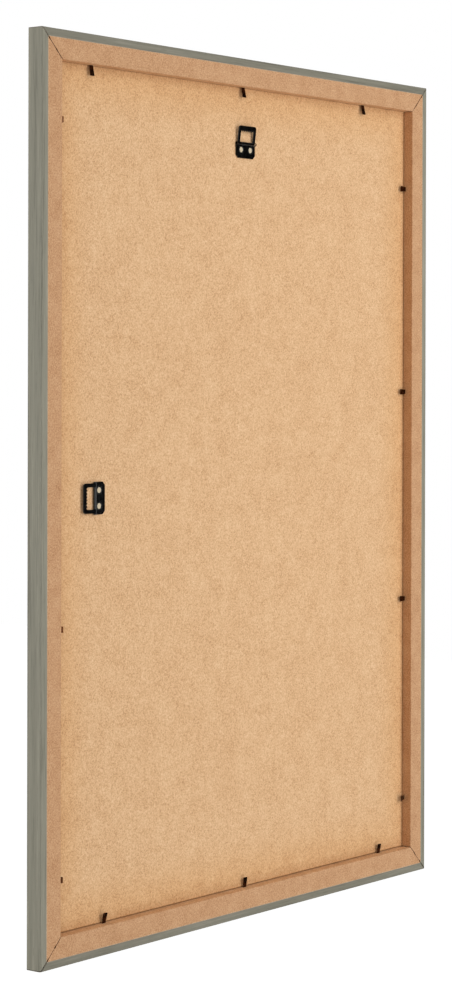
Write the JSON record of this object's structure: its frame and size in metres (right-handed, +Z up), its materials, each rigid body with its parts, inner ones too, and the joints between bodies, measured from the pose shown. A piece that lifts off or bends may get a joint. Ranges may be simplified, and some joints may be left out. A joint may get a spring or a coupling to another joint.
{
  "type": "picture frame",
  "caption": "Foil-wrapped wooden picture frame with a recessed back panel, bendable retaining tabs and hinged sawtooth hangers for upright or sideways hanging.",
  "frame": {"origin": "in the plane of the back, where a nail in the wall carries the middle notch of the upper bail", "axes": "+Z up along the long side, +Y out of the back towards the wall, +X to the right of someone in front of the picture"},
  "size_m": [0.55, 0.0155, 0.75],
  "materials": {
    "rail_board": "bare fibreboard, fine speckle",
    "decor_foil": "grey-green wood decor foil, satin",
    "panel_board": "bare fibreboard, fine speckle",
    "clear_pane": "clear, polished",
    "insert_paper": "plain, uncoated",
    "hanger_steel": "black, semi-gloss",
    "tab_steel": "blackened spring steel",
    "nail_steel": "bright steel"
  },
  "bodies": {
    "frame": {"front_pane": "clear_pane", "insert_sheet": "insert_paper", "back_panel": "panel_board", "hanger_strap_top": "hanger_steel", "hanger_rivet_top_1": "hanger_steel", "hanger_rivet_top_2": "hanger_steel", "hanger_strap_side": "hanger_steel", "hanger_rivet_side_1": "hanger_steel", "hanger_rivet_side_2": "hanger_steel", "rail_top": "rail_board", "foil_top": "decor_foil", "tab_root_top_1": "tab_steel", "tab_root_top_2": "tab_steel", "tab_root_top_3": "tab_steel", "rail_right": "rail_board", "foil_right": "decor_foil", "tab_root_right_1": "tab_steel", "tab_root_right_2": "tab_steel", "tab_root_right_3": "tab_steel", "tab_root_right_4": "tab_steel", "rail_bottom": "rail_board", "foil_bottom": "decor_foil", "tab_root_bottom_1": "tab_steel", "tab_root_bottom_2": "tab_steel", "tab_root_bottom_3": "tab_steel", "rail_left": "rail_board", "foil_left": "decor_foil", "tab_root_left_1": "tab_steel", "tab_root_left_2": "tab_steel", "tab_root_left_3": "tab_steel", "tab_root_left_4": "tab_steel", "corner_nail_top_right_outer": "nail_steel", "corner_nail_top_right_inner": "nail_steel", "corner_nail_bottom_right_outer": "nail_steel", "corner_nail_bottom_right_inner": "nail_steel", "corner_nail_bottom_left_outer": "nail_steel", "corner_nail_bottom_left_inner": "nail_steel", "corner_nail_top_left_outer": "nail_steel", "corner_nail_top_left_inner": "nail_steel"},
    "bail_top": {"hanger_bail_top": "hanger_steel"},
    "bail_side": {"hanger_bail_side": "hanger_steel"},
    "tab_top_1": {"tab_leaf_top_1": "tab_steel"},
    "tab_top_2": {"tab_leaf_top_2": "tab_steel"},
    "tab_top_3": {"tab_leaf_top_3": "tab_steel"},
    "tab_right_1": {"tab_leaf_right_1": "tab_steel"},
    "tab_right_2": {"tab_leaf_right_2": "tab_steel"},
    "tab_right_3": {"tab_leaf_right_3": "tab_steel"},
    "tab_right_4": {"tab_leaf_right_4": "tab_steel"},
    "tab_bottom_1": {"tab_leaf_bottom_1": "tab_steel"},
    "tab_bottom_2": {"tab_leaf_bottom_2": "tab_steel"},
    "tab_bottom_3": {"tab_leaf_bottom_3": "tab_steel"},
    "tab_left_1": {"tab_leaf_left_1": "tab_steel"},
    "tab_left_2": {"tab_leaf_left_2": "tab_steel"},
    "tab_left_3": {"tab_leaf_left_3": "tab_steel"},
    "tab_left_4": {"tab_leaf_left_4": "tab_steel"}
  },
  "joints": [
    {"name": "bail_top_hinge", "type": "hinge", "parent": "frame", "child": "bail_top", "pos_m": [0, -0.00845, -0.01141], "axis": [-1, 0, 0], "range_deg": [-7, 83]},
    {"name": "bail_side_hinge", "type": "hinge", "parent": "frame", "child": "bail_side", "pos_m": [0.2016, -0.00845, -0.31541], "axis": [0, 0, 1], "range_deg": [-3, 87]},
    {"name": "tab_top_1_bend", "type": "hinge", "parent": "frame", "child": "tab_top_1", "pos_m": [-0.178, -0.0079, 0.03679], "axis": [1, 0, 0], "range_deg": [-21, 80]},
    {"name": "tab_top_2_bend", "type": "hinge", "parent": "frame", "child": "tab_top_2", "pos_m": [0.005, -0.0079, 0.03679], "axis": [1, 0, 0], "range_deg": [-21, 80]},
    {"name": "tab_top_3_bend", "type": "hinge", "parent": "frame", "child": "tab_top_3", "pos_m": [0.208, -0.0079, 0.03679], "axis": [1, 0, 0], "range_deg": [-19, 82]},
    {"name": "tab_right_1_bend", "type": "hinge", "parent": "frame", "child": "tab_right_1", "pos_m": [0.2514, -0.0079, -0.00961], "axis": [0, 0, -1], "range_deg": [-20, 81]},
    {"name": "tab_right_2_bend", "type": "hinge", "parent": "frame", "child": "tab_right_2", "pos_m": [0.2514, -0.0079, -0.21495], "axis": [0, 0, -1], "range_deg": [-5, 96]},
    {"name": "tab_right_3_bend", "type": "hinge", "parent": "frame", "child": "tab_right_3", "pos_m": [0.2514, -0.0079, -0.41928], "axis": [0, 0, -1], "range_deg": [-27, 74]},
    {"name": "tab_right_4_bend", "type": "hinge", "parent": "frame", "child": "tab_right_4", "pos_m": [0.2514, -0.0079, -0.62061], "axis": [0, 0, -1], "range_deg": [-27, 74]},
    {"name": "tab_bottom_1_bend", "type": "hinge", "parent": "frame", "child": "tab_bottom_1", "pos_m": [0.19, -0.0079, -0.66401], "axis": [-1, 0, 0], "range_deg": [-22, 79]},
    {"name": "tab_bottom_2_bend", "type": "hinge", "parent": "frame", "child": "tab_bottom_2", "pos_m": [0, -0.0079, -0.66401], "axis": [-1, 0, 0], "range_deg": [-16, 85]},
    {"name": "tab_bottom_3_bend", "type": "hinge", "parent": "frame", "child": "tab_bottom_3", "pos_m": [-0.207, -0.0079, -0.66401], "axis": [-1, 0, 0], "range_deg": [-20, 81]},
    {"name": "tab_left_1_bend", "type": "hinge", "parent": "frame", "child": "tab_left_1", "pos_m": [-0.2494, -0.0079, -0.61761], "axis": [0, 0, 1], "range_deg": [-27, 74]},
    {"name": "tab_left_2_bend", "type": "hinge", "parent": "frame", "child": "tab_left_2", "pos_m": [-0.2494, -0.0079, -0.42728], "axis": [0, 0, 1], "range_deg": [-15, 86]},
    {"name": "tab_left_3_bend", "type": "hinge", "parent": "frame", "child": "tab_left_3", "pos_m": [-0.2494, -0.0079, -0.22995], "axis": [0, 0, 1], "range_deg": [-14, 87]},
    {"name": "tab_left_4_bend", "type": "hinge", "parent": "frame", "child": "tab_left_4", "pos_m": [-0.2494, -0.0079, -0.03661], "axis": [0, 0, 1], "range_deg": [-13, 88]}
  ]
}
